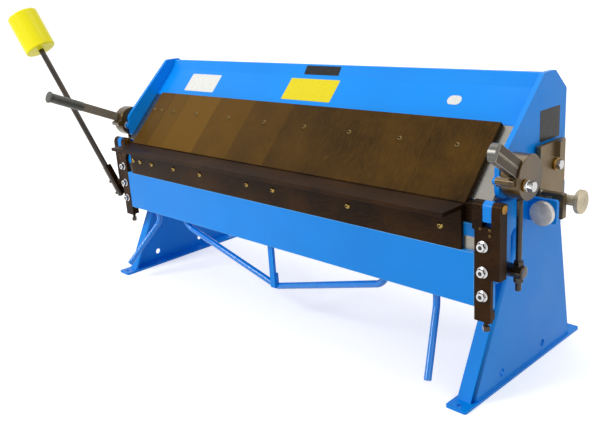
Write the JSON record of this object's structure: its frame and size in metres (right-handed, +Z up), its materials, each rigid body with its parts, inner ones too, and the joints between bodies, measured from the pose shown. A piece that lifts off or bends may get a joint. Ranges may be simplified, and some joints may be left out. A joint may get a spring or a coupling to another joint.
{
  "type": "box and pan brake",
  "caption": "Free-standing finger brake for folding sheet metal, with removable fingers, cam clamps at both ends and a counterweighted bending leaf.",
  "frame": {"origin": "middle of the four floor bolt holes, on the underside of the feet", "axes": "+X to the operator's right along the bend line, +Y away from the operator, +Z up"},
  "size_m": [1.805, 0.6346, 0.8492],
  "materials": {
    "blue_paint": "bright blue gloss enamel",
    "black_oxide": "black oxide, oiled",
    "bare_steel": "ground bare steel",
    "bright_steel": "turned and zinc plated steel",
    "brass": "turned brass",
    "yellow_paint": "yellow gloss enamel",
    "grey_handle": "dark oxidised steel",
    "grip": "dark grey moulded grip"
  },
  "bodies": {
    "base": {"left_leg": "blue_paint", "right_leg": "blue_paint", "foot_bars": "blue_paint", "bed": "blue_paint", "nose_bar": "black_oxide", "left_hinge_arm": "blue_paint", "right_hinge_arm": "blue_paint", "hinge_pins": "bright_steel", "screw_lugs": "blue_paint", "guide_pads": "blue_paint"},
    "apron": {"apron_plate": "blue_paint", "bend_bar_1in": "black_oxide", "bend_bar_2in": "black_oxide", "bend_bar_3in": "black_oxide", "bend_bar_6in": "black_oxide", "bend_bar_12in": "black_oxide", "bend_bar_24in": "black_oxide", "bend_bar_screws": "bright_steel", "left_hinge_fork": "black_oxide", "right_hinge_fork": "black_oxide", "fork_bolts": "bright_steel", "hinge_bushes": "brass", "truss_bar": "blue_paint", "truss_post": "blue_paint", "pull_rods": "blue_paint", "counterweight_channel": "black_oxide", "channel_screws": "black_oxide"},
    "counterweight": {"counterweight_rod": "black_oxide", "counterweight": "yellow_paint"},
    "left_adjuster": {"left_adjuster_screw": "black_oxide"},
    "right_adjuster": {"right_adjuster_screw": "black_oxide"},
    "carriage": {"left_setback_plate": "black_oxide", "right_setback_plate": "black_oxide", "beam_pivot_bolts": "bright_steel", "pivot_brass_washers": "brass"},
    "left_setback_knob": {"left_setback_knob": "bright_steel"},
    "right_setback_knob": {"right_setback_knob": "bright_steel"},
    "left_lock_knob": {"left_lock_knob": "bright_steel"},
    "right_lock_knob": {"right_lock_knob": "bright_steel"},
    "beam": {"finger_1in": "black_oxide", "finger_2in": "black_oxide", "finger_3in": "black_oxide", "wide_fingers": "black_oxide", "finger_screws": "bright_steel", "finger_seat": "bare_steel", "beam_shell": "blue_paint", "left_end_plate": "blue_paint", "right_end_plate": "blue_paint", "cam_bolts": "bright_steel", "cam_brass_washers": "brass"},
    "left_cam": {"left_cam": "black_oxide", "left_handle": "grey_handle", "left_handle_grip": "grip"},
    "right_cam": {"right_cam": "black_oxide", "right_handle": "grey_handle", "right_handle_tip": "bright_steel"},
    "left_link": {"left_link_rod": "black_oxide", "left_trunnion": "black_oxide"},
    "right_link": {"right_link_rod": "black_oxide", "right_trunnion": "black_oxide"}
  },
  "joints": [
    {"name": "apron_swing", "type": "hinge", "parent": "base", "child": "apron", "pos_m": [0, -0.1695, 0.4232], "axis": [1, 0, 0], "range_deg": [-120, 0]},
    {"name": "counterweight_slide", "type": "slide", "parent": "apron", "child": "counterweight", "axis": [-0.4522, -0.1461, 0.8799], "range_m": [0, 0.03]},
    {"name": "left_adjuster_turn", "type": "hinge", "parent": "apron", "child": "left_adjuster", "pos_m": [-0.6598, -0.16925, 0.17], "axis": [0, 0, 1], "continuous": true},
    {"name": "right_adjuster_turn", "type": "hinge", "parent": "apron", "child": "right_adjuster", "pos_m": [0.6598, -0.16925, 0.17], "axis": [0, 0, 1], "continuous": true},
    {"name": "setback_slide", "type": "slide", "parent": "base", "child": "carriage", "axis": [0, 1, 0], "range_m": [0, 0.003]},
    {"name": "left_setback_turn", "type": "hinge", "parent": "base", "child": "left_setback_knob", "pos_m": [-0.7198, -0.0575, 0.3917], "axis": [0, 1, 0], "range_deg": [-10, 550]},
    {"name": "right_setback_turn", "type": "hinge", "parent": "base", "child": "right_setback_knob", "pos_m": [0.7198, -0.0575, 0.3917], "axis": [0, 1, 0], "range_deg": [-10, 550]},
    {"name": "left_lock_turn", "type": "hinge", "parent": "base", "child": "left_lock_knob", "pos_m": [-0.74, 0.0278, 0.3986], "axis": [1, 0, 0], "range_deg": [0, 360]},
    {"name": "right_lock_turn", "type": "hinge", "parent": "base", "child": "right_lock_knob", "pos_m": [0.74, 0.0278, 0.3986], "axis": [1, 0, 0], "range_deg": [0, 360]},
    {"name": "beam_lift", "type": "hinge", "parent": "carriage", "child": "beam", "pos_m": [0, 0.0545, 0.464], "axis": [-1, 0, 0], "range_deg": [0, 6.18]},
    {"name": "left_cam_turn", "type": "hinge", "parent": "beam", "child": "left_cam", "pos_m": [-0.691, -0.1419, 0.4684], "axis": [-1, 0, 0], "range_deg": [0, 50.2]},
    {"name": "right_cam_turn", "type": "hinge", "parent": "beam", "child": "right_cam", "pos_m": [0.704, -0.1419, 0.4684], "axis": [-1, 0, 0], "range_deg": [0, 50.2]},
    {"name": "left_link_swing", "type": "hinge", "parent": "base", "child": "left_link", "pos_m": [-0.668, -0.12615, 0.285], "axis": [-1, 0, 0], "range_deg": [0, 3]},
    {"name": "right_link_swing", "type": "hinge", "parent": "base", "child": "right_link", "pos_m": [0.668, -0.12615, 0.285], "axis": [-1, 0, 0], "range_deg": [0, 3]}
  ],
  "couplings": [
    {"joint": "left_cam_turn", "follows": "beam_lift", "ratio": 8.0777},
    {"joint": "right_cam_turn", "follows": "beam_lift", "ratio": 8.0777},
    {"joint": "left_link_swing", "follows": "beam_lift", "ratio": 0.46851},
    {"joint": "right_link_swing", "follows": "beam_lift", "ratio": 0.46851},
    {"joint": "left_setback_turn", "follows": "setback_slide", "rad_per_m": 3141.6},
    {"joint": "right_setback_turn", "follows": "setback_slide", "rad_per_m": 3141.6}
  ]
}
